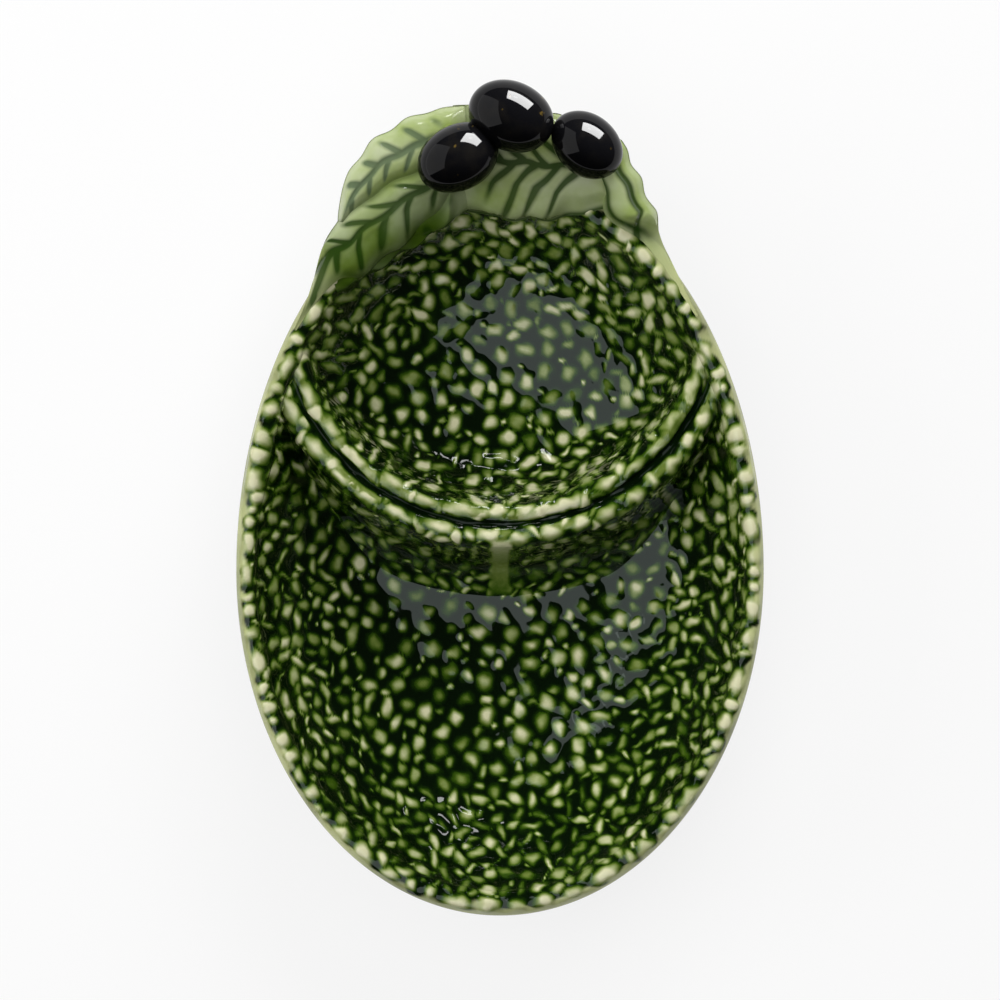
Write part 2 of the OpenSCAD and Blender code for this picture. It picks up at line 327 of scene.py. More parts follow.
def mid_wall_z(p):
    """Height of the middle of the bowl's wall over or under points."""
    out = np.clip(plan_radius(p) - FLOOR_R, 0, ARC_R * 0.999)
    return ARC_Z - np.sqrt(ARC_R**2 - out**2)


def arc_ends(section):
    """Half-angles of the divider's arc at which each row of its section reaches the middle of the wall."""
    reached = plan_radius(arc_plan(DIVIDER_R + section[:, 0], ARC_TRIES[:, None]))
    down = np.clip(ARC_Z - section[:, 1], 0, ARC_R)
    wall_r = FLOOR_R + np.sqrt(ARC_R**2 - down**2)
    return ARC_TRIES[np.argmax(reached > np.minimum(wall_r, RIM_R), axis=0)]


def sheet_faces(grid):
    """Quads of a grid of point numbers."""
    quads = np.stack([grid[:-1, :-1], grid[1:, :-1], grid[1:, 1:], grid[:-1, 1:]], axis=-1)
    return quads.reshape(-1, 4).tolist()


def slab_faces(grid):
    """Faces of a slab between a grid of points and a second grid that comes after it."""
    count = grid.size
    top = sheet_faces(grid)
    under = [[count + k for k in quad[::-1]] for quad in top]
    edge = np.concatenate([grid[:-1, 0], grid[-1, :-1], grid[:0:-1, -1], grid[0, :0:-1]]).tolist()
    return top + under + [(b, a, a + count, b + count) for a, b in zip(edge, edge[1:] + edge[:1])]


def divider_surface():
    """Points and facings of the divider's upper side as a grid along the arc, and its section."""
    section = divider_section()
    slope = np.gradient(section, axis=0)
    across = unit(np.stack([-slope[:, 1], slope[:, 0]], axis=1))
    across = across * np.sign(across[len(section) // 4, 1])
    rows = int(2 * DIVIDER_HALF_ANGLE * DIVIDER_R / DIVIDER_STEP)
    angle = np.linspace(-1, 1, rows)[:, None] * arc_ends(section)
    height = np.broadcast_to(section[:, 1], angle.shape)
    points = np.dstack([arc_plan(DIVIDER_R + section[:, 0], angle), height])
    facing = np.stack([
        np.sin(angle) * across[:, 0], -np.cos(angle) * across[:, 0],
        np.broadcast_to(across[:, 1], angle.shape),
    ], axis=-1)
    return points, facing, section


# Pebbles: rows along the rim and the divider's lips, and others scattered over the inner surfaces

# Smallest and largest half-size of the pebbles, and how many places are tried for them
PEBBLE_SIZES = ((2.3, 3.0, 5000), (1.6, 2.3, 14000), (1.0, 1.5, 7000))
# How far apart pebbles lie on the floor and on the walls: at 1 their edges just meet
FLOOR_ROOM = 0.98
WALL_ROOM = 0.78
# A long pebble of a row keeps others off no further than this
ROW_REACH = 2.2
PEBBLE_TILT = 0.10
# 2 makes pebbles oval, and more makes them fuller
PEBBLE_FULLNESS = 2.2
# Shares of its size at which a pebble is palest and at which it ends, and how much firm ones narrow them
PEBBLE_TOP = 0.10
PEBBLE_END = 1.32
FIRMING = 0.10
JOINT_W = 0.4
NEAREST = 8
WARP = 0.3
WARP_LENGTH = 3.6
# Pebbles run down steep walls: they are spread over a flattened dish
FLATTENED = np.array([1, 1, 0.26])
# Degrees that the rim's row of pebbles leans in, and how much further out it lies at the front
RIM_LEAN = 9
FRONT_LEAN = 20


def pebble_row(line, lengths, widths, gap, tones, stray):
    """Pebbles end to end along a line of points."""
    line = line * FLATTENED
    step = np.linalg.norm(np.diff(line, axis=0), axis=1)
    along = np.concatenate([[0], np.cumsum(step)])
    row = []
    at = 0.0
    while at < along[-1]:
        length = random.uniform(*lengths)
        k = min(int(np.searchsorted(along, at + length / 2)), len(line) - 2)
        way = unit(line[k + 1] - line[k])
        aside = np.array([way[1], -way[0], 0]) * random.uniform(-stray, stray)
        row.append((line[k] + aside, length / 2, random.uniform(*widths) / 2, way, random.uniform(*tones)))
        at += length + random.uniform(*gap)
    return row


def rim_row():
    """A row of pebbles on the shoulder of the rim."""
    angle = np.linspace(0, 2 * math.pi, 4000)
    lean = np.radians(RIM_LEAN - FRONT_LEAN * smooth(0.3, 0.9, -np.sin(angle)))
    x, y, _ = egg(RIM_R - BEAD_R * np.sin(lean), angle)
    line = np.stack([x, y, RIM_Z + BEAD_R * np.cos(lean)], axis=1)
    return pebble_row(
        line, lengths=(2.8, 9.5), widths=(3.6, 5.8), gap=(-0.9, 1.5), tones=(0.5, 0.95), stray=0.5
    )


def lip_row(side, lengths, gap):
    """A row of long pebbles on the divider's front lip, or on its back lip if side is -1."""
    line = arc_plan(DIVIDER_R + side * LIP_Q, np.linspace(-1.3, 1.3, 3000))
    line = line[plan_radius(line) < RIM_R - 1]
    line = np.column_stack([line, np.full(len(line), CREST_Z)])
    return pebble_row(line, lengths, widths=(3.0, 5.2), gap=gap, tones=(0.45, 0.85), stray=0.7)


def scatter(points, facing, rim_ways, weights, rooms, scales, longest, rows):
    """Rows of pebbles and pebbles strewn between them, the large ones first."""
    cell = 2 * PEBBLE_SIZES[0][1] + 1
    grid = {}
    pebbles = []

    def cell_of(p):
        return tuple((p // cell).astype(int))

    for pebble in rows:
        grid.setdefault(cell_of(pebble[0]), []).append(len(pebbles))
        pebbles.append(pebble)
    chance = weights / weights.sum()
    for small, large, tries in PEBBLE_SIZES:
        chosen = random.choice(len(points), tries, p=chance)
        sizes = random.uniform(small, large, tries)
        for k, size in zip(chosen, sizes * scales[chosen]):
            p = points[k]
            i, j, m = cell_of(p)
            near = [
                pebbles[n]
                for di in (-1, 0, 1) for dj in (-1, 0, 1) for dm in (-1, 0, 1)
                for n in grid.get((i + di, j + dj, m + dm), ())
            ]
            if all(np.linalg.norm(q[0] - p) > rooms[k] * (min(q[1], ROW_REACH) + size) for q in near):
                way = random.normal(size=3) + rim_ways[k]
                way = unit(way - facing[k] * (way @ facing[k]))
                longer = math.sqrt(random.uniform(1.0, longest[k]))
                grid.setdefault((i, j, m), []).append(len(pebbles))
                pebbles.append((p, size * longer, size / longer, way, random.uniform(0, 1)))
    return [np.array(column) for column in zip(*pebbles)]


def nearest_pebbles(points, places):
    """Numbers of the pebbles that lie nearest to each point."""
    tree = kdtree.KDTree(len(places))
    for i, p in enumerate(places):
        tree.insert(p, i)
    tree.balance()
    return np.array([[hit[1] for hit in tree.find_n(p, NEAREST)] for p in points])


def pebble_field(points, pebbles, firm, joint):
    """Pebble paleness from 0 to 1, a softer swelling and leaning for the shape, and the pebble's tone.

    Where firm is 1, pebbles have flat tops and sharper edges. Joint is how pale they stay where they meet.
    """
    places, half_long, half_wide, ways, tones = pebbles
    leaning = np.random.default_rng(9).normal(size=(len(places), 3)) * PEBBLE_TILT
    warp = np.stack([waves(points, WARP_LENGTH, 20 + k) for k in range(3)], axis=1) * WARP
    moved = points * FLATTENED + warp
    found = nearest_pebbles(moved, places)
    offset = moved[:, None, :] - places[found]
    along = np.einsum("nkc,nkc->nk", offset, ways[found])
    across = np.sqrt(np.maximum((offset**2).sum(axis=2) - along**2, 0))
    away = np.abs(along / half_long[found])**PEBBLE_FULLNESS + (across / half_wide[found])**PEBBLE_FULLNESS
    away = away**(1 / PEBBLE_FULLNESS)
    order = np.argsort(away, axis=1)[:, :2]
    first, second = np.take_along_axis(away, order, axis=1).T
    owner = np.take_along_axis(found, order, axis=1)[:, 0]
    pale = smooth(PEBBLE_END - FIRMING * firm, PEBBLE_TOP + FIRMING * firm, first)
    pale = pale * (joint + (1 - joint) * smooth(0.0, JOINT_W, second - first))
    near = np.exp(-away**2)
    swell = 1 - np.prod(1 - near, axis=1)
    lean = (near * np.einsum("nkc,nkc->nk", offset, leaning[found])).sum(axis=1)
    return pale, swell, lean, tones[owner]


# Leaves, as in the CAD model: margins bent through points given as shares of the dish

LEAF_T = 4.0
LEAF_EDGE_T = 2.2
LEAF_GAP = 0.15
LEAF_JOINT = 0.2
LEAF_RISE = math.radians(7)
LEDGE_EASE = 6.0
LEAF_WAVE = 0.5
LEAF_WAVES = 4
OLIVE_LEN = 22.6
OLIVE_D = 17.8
OLIVE_SINK = 2.2
OLIVE_GAP = 0.15
OLIVE_PLACE_SHARES = ((-0.157, 1.023), (0.041, 1.125), (0.326, 1.055))
OLIVE_TURNS = (27, -24, -40)
OLIVE_SIZE_SHARES = (0.96, 1.0, 0.88)


def plan(share):
    """Plan point at shares of the dish's half-width and of its length behind the widest place."""
    return np.array([HALF_W * share[0], WIDE_Y + BACK_LEN * share[1]])


def bed(r, wrap=0.0):
    """Height of what the leaves lie on at a section radius, and its facing across and up.

    Outside the rim's crest they lie level, or round the rim where wrap is 1.
    """
    inner = np.clip(r - FLOOR_R, 0, BEAD_START_R - FLOOR_R)
    inner_z = ARC_Z - np.sqrt(INNER_R**2 - inner**2)
    over = np.clip(r - RIM_R, -BEAD_R, 0.97 * BEAD_R)
    bead_z = RIM_Z + np.sqrt(np.maximum(BEAD_R**2 - over**2, 0))
    ledge_z = RIM_H + (r - RIM_R) * math.tan(LEAF_RISE)
    ledge_z = ledge_z + (bead_z - ledge_z) * wrap
    on_wall = r < BEAD_START_R
    on_bead = (~on_wall) & (r < RIM_R)
    z = np.where(on_wall, inner_z, np.where(on_bead, bead_z, ledge_z))
    tipped = -math.sin(LEAF_RISE) * smooth(RIM_R, RIM_R + LEDGE_EASE, r)
    tipped = tipped + (over / BEAD_R - tipped) * wrap
    across = np.where(on_wall, -inner / INNER_R, np.where(on_bead, over / BEAD_R, tipped))
    return z, across, np.sqrt(1 - across**2)


def off_wall(p, height, wrap):
    """Points at a height off the wall, square to it, over plan points."""
    r = plan_radius(p)
    z, across, up = bed(r, wrap)
    grow = (r + across * height) / r
    return np.stack([
        p[..., 0] * grow, WIDE_Y + (p[..., 1] - WIDE_Y) * grow, z + up * height,
    ], axis=-1)


def olive_shape(i):
    """Centre, half-length, half-thickness and turn of an olive."""
    half_len = OLIVE_LEN / 2 * OLIVE_SIZE_SHARES[i]
    half_d = OLIVE_D / 2 * OLIVE_SIZE_SHARES[i]
    p = plan(OLIVE_PLACE_SHARES[i])
    z = bed(plan_radius(p))[0] + LEAF_GAP + LEAF_T + half_d - OLIVE_SINK
    return np.array([p[0], p[1], z]), half_len, half_d, math.radians(OLIVE_TURNS[i])


def pressed(points):
    """Leaf points, pushed down under the olives."""
    z = points[..., 2].copy()
    for i in range(len(OLIVE_TURNS)):
        centre, half_len, half_d, turn = olive_shape(i)
        x, y = points[..., 0] - centre[0], points[..., 1] - centre[1]
        along = (x * math.cos(turn) + y * math.sin(turn)) / (half_len + OLIVE_GAP)
        across = (y * math.cos(turn) - x * math.sin(turn)) / (half_d + OLIVE_GAP)
        left = 1 - along**2 - across**2
        under = centre[2] - (half_d + OLIVE_GAP) * np.sqrt(np.maximum(left, 0))
        z = np.where(left > 0, np.minimum(z, under), z)
    return np.stack([points[..., 0], points[..., 1], z], axis=-1)


def margin(c, t):
    """Points along a leaf margin that four points bend, with waves."""
    t = t[:, None]
    p = c[0] * (1 - t)**3 + c[1] * 3 * t * (1 - t)**2 + c[2] * 3 * t**2 * (1 - t) + c[3] * t**3
    way = (c[1] - c[0]) * (1 - t)**2 + (c[2] - c[1]) * 2 * t * (1 - t) + (c[3] - c[2]) * t**2
    way = unit(way)
    side = np.stack([way[:, 1], -way[:, 0]], axis=1)
    return p + LEAF_WAVE * np.sin(2 * math.pi * LEAF_WAVES * t) * np.sin(math.pi * t) * side


LEFT_END = [plan(s) for s in ((-0.155, 1.161), (-0.118, 0.912))]
RIGHT_END = [plan(s) for s in ((0.405, 1.107), (0.42, 0.905))]
LEFT_STARTS = (0, 0.45, 0.75, 1)
LEFT_MARGIN_SHARES = (
    ((-0.353, 1.147), (-0.588, 1.069), (-0.606, 0.904)),
    ((-0.441, 0.962), (-0.691, 0.904), (-0.732, 0.690)),
    ((-0.294, 0.884), (-0.529, 0.758), (-0.713, 0.676)),
    ((-0.25, 0.85), (-0.441, 0.768), (-0.618, 0.695)),
)
CENTRE_MARGIN_SHARES = (
    ((0.03, 1.178), (0.20, 1.137)),
    ((0.044, 0.865), (0.265, 0.885)),
)
RIGHT_MARGIN_SHARES = (
    ((0.416, 1.01), (0.397, 0.865), (0.65, 0.735)),
    ((0.50, 1.01), (0.575, 0.93), (0.68, 0.743)),
)


def margin_points(start, shares, *end):
    """The four points that bend a leaf margin."""
    return [start, *(plan(share) for share in shares), *end]


left_margins = [
    margin_points(LEFT_END[0] + (LEFT_END[1] - LEFT_END[0]) * start - [LEAF_JOINT, 0], shares)
    for start, shares in zip(LEFT_STARTS, LEFT_MARGIN_SHARES)
]
centre_margins = [
    margin_points(LEFT_END[k], CENTRE_MARGIN_SHARES[k], RIGHT_END[k]) for k in (0, 1)
]
right_margins = [
    margin_points(RIGHT_END[0] + [LEAF_JOINT + LEAF_EDGE_T * k, 0], RIGHT_MARGIN_SHARES[k]) for k in (0, 1)
]

# A leaf follows a share of each of its two margins. Its edges are how it ends at the first, at the second,
# at its tip and at its root. It has a share of painted shade towards the well, where it slopes down, and ink
# is how dark its veins are. Its root is drawn aside by two amounts, one for each margin.
Leaf = namedtuple(
    "Leaf", "node first second shares edges veins slant tip_draw depth ink root_draw",
    defaults=(1.0, ((1.6, 0), (1.6, 0))),
)
LEAVES = (
    Leaf("leaf_centre", *centre_margins[::-1], (1, 1), ("feather", "free", "joint", "fade"),
         veins=6, slant=-0.36, tip_draw=(0.4, 0), depth=0.20, root_draw=((-5.0, 0), (-1.6, 0))),
    Leaf("leaf_left_upper", *left_margins[0:2], (1, 0.57), ("free", "joint", "round", "root"),
         veins=5, slant=0.16, tip_draw=(-1.4, -3.0), depth=1.0, ink=0.25),
    Leaf("leaf_left_lower", *left_margins[1:3], (1, 1), ("open", "joint", "melt", "root"),
         veins=6, slant=0.16, tip_draw=(-3.2, -9.0), depth=0.9),
    Leaf("leaf_left_inner", *left_margins[2:4], (0.85, 1), ("joint", "feather", "fade", "fade"),
         veins=4, slant=0.10, tip_draw=(0, 0), depth=1.05),
    Leaf("leaf_right", *right_margins, (1, 1), ("rolled", "free", "melt", "root"),
         veins=0, slant=0.14, tip_draw=(6.0, -11.0), depth=0.35, root_draw=((-3.4, -1.6), (-3.4, -1.6))),
)
# Share of painted shade that every leaf has at its root
ROOT_SHADE = 0.55
LEAF_ROWS = 150
LEAF_COLS = 81
LEAF_U = np.linspace(0, 1, LEAF_ROWS)[:, None]
LEAF_V = np.sin(np.linspace(-1, 1, LEAF_COLS) * math.pi / 2)[None, :]
LEAF_OVERLAP = {"feather": 0.0, "free": 0.0, "joint": 0.4, "open": 0.4, "rolled": 1.2}
LEAF_CREASE = {"feather": 0.9, "free": 0.0, "joint": 0.4, "open": 0.4, "rolled": 0.95}
CREASE_IN = 0.3
CREASE_HALF_W = 0.8
# Share of a leaf's thickness that an edge keeps, and how far in it is full. Other edges are rounded.
EDGE_FALLS = {
    "joint": (0.75, 3.0), "feather": (0.12, 5.0), "fade": (0.10, 9.0), "melt": (0.02, 20.0),
    "root": (0.55, 3.5), "strip": (0.08, 6.0),
}
EDGE_ROUND = 2.6
# An open edge is joined to the next leaf near its root, and free from there on
JOINED = smooth(0.61, 0.51, LEAF_U)
MIDRIB_DEPTH = 0.22
MIDRIB_HALF_W = 1.15
VEIN_DEPTH = 0.08
VEIN_HALF_W = 0.95
LEAF_SWELL = 0.2
LEAF_SINK = 0.35
UNDERCUT_SHARE = 0.4
THINNEST = 0.05
ROUND_TIP = 0.9
MELT_SHARE = 0.9
MELT_OUT = 0.8
# A rolled leaf has a lobe that reaches over the leaf beside it, and only a strip goes on below the lobe.
# Where the lobe ends across the leaf turns to the inner edge there.
LOBE_RISE = 1.4
LOBE_REACH = 2.4
STRIP_IN = 3.0
LOBE_EDGE = 0.25 + 0.2 * smooth(0.35, 0.6, LEAF_U) - 1.5 * smooth(0.62, 0.78, LEAF_U)


def leaf_plan(leaf):
    """Plan points of a leaf, in rows from its root to its tip."""
    a = margin(leaf.first, LEAF_U[:, 0] * leaf.shares[0])
    b = margin(leaf.second, LEAF_U[:, 0] * leaf.shares[1])
    way = unit(b - a)
    a = a - way * LEAF_OVERLAP[leaf.edges[0]]
    b = b + way * LEAF_OVERLAP[leaf.edges[1]]
    if leaf.edges[0] == "rolled":
        lobe = LOBE_REACH * smooth(0.05, 0.3, LEAF_U) * smooth(0.76, 0.6, LEAF_U)
        strip = STRIP_IN * smooth(0.68, 0.82, LEAF_U) * smooth(1.0, 0.84, LEAF_U)
        a = a + way * (strip - lobe)
    near_root = smooth(0.12, 0.0, LEAF_U)
    at_tip = smooth(0.78, 1.0, LEAF_U) * np.array(leaf.tip_draw)
    a = a + near_root * np.array(leaf.root_draw[0]) + at_tip
    b = b + near_root * np.array(leaf.root_draw[1]) + at_tip
    if leaf.edges[2] == "melt":
        # The tip runs out in a point on the rim
        middle = (a + b) / 2
        on_rim = (middle - [0, WIDE_Y]) * ((RIM_R + MELT_OUT) / plan_radius(middle)[:, None]) + [0, WIDE_Y]
        narrow = MELT_SHARE * smooth(0.66, 1.0, LEAF_U)
        a, b = a + (on_rim - a) * narrow, b + (on_rim - b) * narrow
    if leaf.edges[2] == "round":
        a = a + way * ROUND_TIP * smooth(0.86, 1.0, LEAF_U)
    return a[:, None, :] + (b - a)[:, None, :] * ((1 + LEAF_V) / 2)[..., None]


def leaf_edge(kind, away):
    """Share of a leaf's thickness at a distance from an edge of the given kind."""
    if kind in EDGE_FALLS:
        kept, full = EDGE_FALLS[kind]
        return kept + (1 - kept) * smooth(0, full, away)
    rounded = np.sqrt(1 - (1 - np.clip(away / EDGE_ROUND, 0, 1))**2)
    if kind == "open":
        return rounded + (leaf_edge("joint", away) - rounded) * JOINED
    if kind == "rolled":
        return rounded + (leaf_edge("strip", away) - rounded) * smooth(0.66, 0.80, LEAF_U)
    return rounded


def leaf_veins(leaf, width, length):
    """Marks of a leaf's midrib and of its side veins, from 0 to 1."""
    rolled = leaf.edges[0] == "rolled"
    side = np.abs(LEAF_V - LOBE_EDGE * rolled) * width / 2
    midrib = bell(side, MIDRIB_HALF_W * (1.15 - 0.6 * LEAF_U))
    midrib = midrib * (smooth(0.80, 0.74, LEAF_U) if rolled else smooth(1.0, 0.85, LEAF_U))
    lean = math.cos(math.atan(leaf.slant * length / width.max() * 2))
    out = np.abs(LEAF_V)
    marks = np.zeros_like(midrib)
    for k in range(leaf.veins):
        for sign in (-1, 1):
            start = (k + 0.6 + 0.25 * sign) / (leaf.veins + 0.6)
            line = start + leaf.slant * out * width / width.max()
            thin = VEIN_HALF_W * (1.15 - 0.6 * out)
            mark = bell((LEAF_U - line) * length * lean, thin)
            mark = mark * (LEAF_V * sign >= 0) * smooth(0.92, 0.55, out)
            marks = np.maximum(marks, mark)
    from_root = smooth(0.06, 0.22, LEAF_U)
    return midrib * from_root, marks * from_root


def leaf_top(leaf, edge, midrib, veins):
    """Thickness of a leaf, with its veins carved and a rolled leaf's lobe raised."""
    body = LEAF_EDGE_T + (LEAF_T - LEAF_EDGE_T) * (1 - LEAF_V**2)
    body = body + LEAF_SWELL * (1 - np.maximum(midrib, veins)) * (1 - LEAF_V**4)
    body = body - np.maximum(MIDRIB_DEPTH * midrib, VEIN_DEPTH * veins)
    if leaf.edges[0] == "rolled":
        lobe_v = (LEAF_V - (LOBE_EDGE - 1) / 2) / np.maximum((LOBE_EDGE + 1) / 2, 0.05)
        body = body + LOBE_RISE * np.sqrt(np.clip(1 - lobe_v**2, 0, 1)) * smooth(0.78, 0.6, LEAF_U)
    return body * edge


def leaf_underside(leaf, edges, r):
    """Height of a leaf's underside: sunk into the wall, and raised under free edges outside the rim."""
    free_edge = np.ones_like(r)
    for kind, edge in zip(leaf.edges[:2], edges):
        if kind in ("free", "open"):
            free_edge = np.minimum(free_edge, edge)
    raised = (1 - free_edge) * LEAF_EDGE_T * UNDERCUT_SHARE * smooth(RIM_R - 1, RIM_R + 1, r)
    return np.maximum(-LEAF_SINK * smooth(RIM_R + 1, RIM_R - 1, r), raised)


def leaf_crease(leaf, away):
    """Lines of dark glaze along a leaf's margins, from 0 to 1."""
    crease = np.zeros((LEAF_ROWS, LEAF_COLS))
    for kind, distance in zip(leaf.edges[:2], away):
        line = LEAF_CREASE[kind] * bell(distance - LEAF_OVERLAP[kind] - CREASE_IN, CREASE_HALF_W)
        if kind == "open":
            line = line * JOINED
        if kind == "rolled":
            line = line * smooth(0.84, 0.72, LEAF_U)
        crease = np.maximum(crease, line)
    return crease


def leaf_mesh(leaf):
    """Points, faces and marks of a leaf: a slab whose edges roll over or run into what lies beside them."""
    p = leaf_plan(leaf)
    r = plan_radius(p)
    width = np.linalg.norm(p[:, -1] - p[:, 0], axis=1)[:, None]
    length = np.linalg.norm(np.diff(p.mean(axis=1), axis=0), axis=1).sum()
    away = ((1 + LEAF_V) / 2 * width, (1 - LEAF_V) / 2 * width, (1 - LEAF_U) * length, LEAF_U * length)
    edges = [leaf_edge(kind, distance) for kind, distance in zip(leaf.edges, away)]
    edge = np.minimum(np.minimum(edges[0], edges[1]), np.minimum(edges[2], edges[3]))
    midrib, veins = leaf_veins(leaf, width, length)
    low = leaf_underside(leaf, edges, r)
    high = np.maximum(leaf_top(leaf, edge, midrib, veins), low + THINNEST)
    melts = leaf.edges[2] == "melt"
    wrap = melts * smooth(0.62, 0.9, LEAF_U)
    gap = LEAF_GAP * (1 - 0.8 * wrap)
    top = pressed(off_wall(p, gap + high, wrap))
    under = off_wall(p, gap + low, wrap)
    points = np.concatenate([top.reshape(-1, 3), under.reshape(-1, 3)])
    depth = ROOT_SHADE + (leaf.depth - ROOT_SHADE) * smooth(0, 0.35, LEAF_U)
    marks = {
        "vein": np.maximum(midrib, veins),
        "crease": leaf_crease(leaf, away),
        # Painted shade towards the well, where the leaf slopes down
        "inward": smooth(RIM_R + 11, RIM_R - 3, r) * depth,
        "fading": melts * smooth(16.0, 3.0, away[2]) + np.zeros_like(r),
        "ink": np.full_like(r, leaf.ink),
    }
    marks = {key: np.tile(mark.ravel(), 2) for key, mark in marks.items()}
    return points, slab_faces(np.arange(r.size).reshape(r.shape)), marks


# Materials


class Nodes:
    """A short way to build a material's node tree."""

    def __init__(self, name):
        self.material = bpy.data.materials.new(name)
        self.material.use_nodes = True
        self.tree = self.material.node_tree
        self.shader = self.tree.nodes["Principled BSDF"]

    def add(self, kind, **values):
        """A node with its properties, or its inputs by name, set."""
        node = self.tree.nodes.new(kind)
        for key, value in values.items():
            if key in node.inputs:
                node.inputs[key].default_value = value
            else:
                setattr(node, key, value)
        return node

    def link(self, source, target):
        self.tree.links.new(source, target)

    def attribute(self, name):
        return self.add("ShaderNodeAttribute", attribute_name=name).outputs["Fac"]

    def noise(self, scale, detail):
        """Noise over the object's own metres."""
        where = self.add("ShaderNodeTexCoord").outputs["Object"]
        node = self.add("ShaderNodeTexNoise", Scale=scale, Detail=detail)
        self.link(where, node.inputs["Vector"])
        return node.outputs["Fac"]

    def put(self, value, target):
        """Sets a socket to a number or a colour, or links an output to it."""
        if isinstance(value, bpy.types.NodeSocket):
            self.link(value, target)
        else:
            target.default_value = (*value, 1) if isinstance(value, tuple) else value

    def math(self, operation, a, b):
        """Two numbers, or number outputs, worked together."""
        node = self.add("ShaderNodeMath", operation=operation)
        self.put(a, node.inputs[0])
        self.put(b, node.inputs[1])
        return node.outputs[0]

    def span(self, value, low, high, to_low=0.0, to_high=1.0):
        """value from low to high, mapped and clamped to the new span."""
        node = self.add("ShaderNodeMapRange")
        for key, number in (("From Min", low), ("From Max", high), ("To Min", to_low), ("To Max", to_high)):
            node.inputs[key].default_value = number
        self.link(value, node.inputs["Value"])
        return node.outputs["Result"]

    def ramp(self, value, *stops):
        """A colour ramp of (place, colour) stops."""
        node = self.add("ShaderNodeValToRGB")
        elements = node.color_ramp.elements
        while len(elements) < len(stops):
            elements.new(0.5)
        for element, (place, colour) in zip(elements, stops):
            element.position = place
            element.color = (*colour, 1)
        self.link(value, node.inputs["Fac"])
        return node.outputs["Color"]

    def mix(self, factor, a, b):
        """Two colours, or colour outputs, mixed by a factor output."""
        node = self.add("ShaderNodeMix", data_type="RGBA")
        self.link(factor, node.inputs["Factor"])
        self.put(a, node.inputs[6])
        self.put(b, node.inputs[7])
        return node.outputs[2]

    def bump(self, height, distance, strength):
        """Small relief from a height output."""
        node = self.add("ShaderNodeBump", Strength=strength, Distance=distance)
        self.link(height, node.inputs["Height"])
        self.link(node.outputs["Normal"], self.shader.inputs["Normal"])

    def finish(self, colour, roughness, bending=1.5):
        """The material, with its colour, roughness and refractive index."""
        self.put(colour, self.shader.inputs["Base Color"])
        self.put(roughness, self.shader.inputs["Roughness"])
        self.shader.inputs["IOR"].default_value = bending
        return self.material


GROOVE_BLACK = (0.0016, 0.0055, 0.0010)
DEEP_GREEN = (0.0065, 0.0220, 0.0010)
MID_GREEN = (0.036, 0.080, 0.004)
PEBBLE_GREEN = (0.135, 0.188, 0.036)
PALE_GREEN = (0.29, 0.34, 0.135)
CREAM = (0.62, 0.61, 0.39)
RIM_CREAM = (0.44, 0.47, 0.225)


def pebbled_glaze():
    """Clear smooth glaze over pebbles, pale where it is thin on them and nearly black where it pools."""
    n = Nodes("pebbled_glaze")
    pebble, tone = n.attribute("pebble"), n.attribute("tone")
    pool, rim = n.attribute("pool"), n.attribute("rim")
    cloud = n.noise(55, 4)
    fine = n.noise(900, 3)
    level = n.math("MULTIPLY", pebble, n.span(tone, 0, 1, 0.46, 1.08))
    level = n.math("MULTIPLY", level, n.span(pool, 0, 1, 0.99, 1.2))
    level = n.math("ADD", level, n.span(cloud, 0.25, 0.75, -0.07, 0.07))
    level = n.math("ADD", level, n.span(fine, 0.3, 0.7, -0.03, 0.03))
    level = n.math("ADD", level, n.span(pool, 0, 1, 0.025, -0.03))
    colour = n.ramp(
        level, (0.05, GROOVE_BLACK), (0.21, DEEP_GREEN), (0.39, MID_GREEN), (0.56, PEBBLE_GREEN),
        (0.75, PALE_GREEN), (1.0, CREAM),
    )
    colour = n.mix(n.math("MULTIPLY", rim, n.span(cloud, 0.35, 0.6, 0.6, 1.0)), colour, RIM_CREAM)
    under = n.add("ShaderNodeAttribute", attribute_name="under").outputs["Vector"]
    turned = n.add("ShaderNodeVectorTransform", vector_type="NORMAL")
    turned.convert_from, turned.convert_to = "OBJECT", "WORLD"
    n.link(under, turned.inputs["Vector"])
    n.link(turned.outputs["Vector"], n.shader.inputs["Normal"])
    n.shader.inputs["Specular IOR Level"].default_value = 0.0
    # Little gloss where the groove is painted dark
    n.link(n.span(n.attribute("groove"), 0, 1, 1, 0.08), n.shader.inputs["Coat Weight"])
    n.shader.inputs["Coat IOR"].default_value = 1.5
    n.link(n.span(cloud, 0.3, 0.7, 0.02, 0.05), n.shader.inputs["Coat Roughness"])
    return n.finish(colour, 0.7)


LEAF_DARK = (0.010, 0.036, 0.001)
LEAF_GREY = (0.105, 0.150, 0.085)
# Painted shade: the deeper green that the leaves take towards the well
LEAF_SHADE_GREEN = (0.058, 0.105, 0.006)
LEAF_MID = (0.26, 0.34, 0.085)
LEAF_PALE = (0.45, 0.50, 0.31)


def leaf_glaze():
    """Pale green glaze with painted shade towards the well, deeper in the veins, greyer where it is thin."""
    n = Nodes("leaf_glaze")
    vein, crease, inward = n.attribute("vein"), n.attribute("crease"), n.attribute("inward")
    cloud, broad, fine = n.noise(70, 4), n.noise(28, 2), n.noise(600, 3)
    colour = n.ramp(cloud, (0.32, LEAF_MID), (0.62, LEAF_PALE))
    # Painted shade towards the well, broken a little by the clouds
    leaf_shade = n.math("MULTIPLY", inward, n.span(cloud, 0.3, 0.7, 1.05, 0.75))
    colour = n.mix(leaf_shade, colour, LEAF_SHADE_GREEN)
    colour = n.mix(n.attribute("fading"), colour, RIM_CREAM)
    ink = n.mix(n.attribute("ink"), LEAF_GREY, LEAF_DARK)
    strength = n.math("MULTIPLY", n.span(vein, 0.06, 0.70), n.span(broad, 0.3, 0.65, 1.0, 0.8))
    colour = n.mix(strength, colour, ink)
    colour = n.mix(crease, colour, LEAF_DARK)
    n.bump(fine, 0.0001, 0.1)
    return n.finish(colour, n.span(cloud, 0.3, 0.7, 0.05, 0.10))


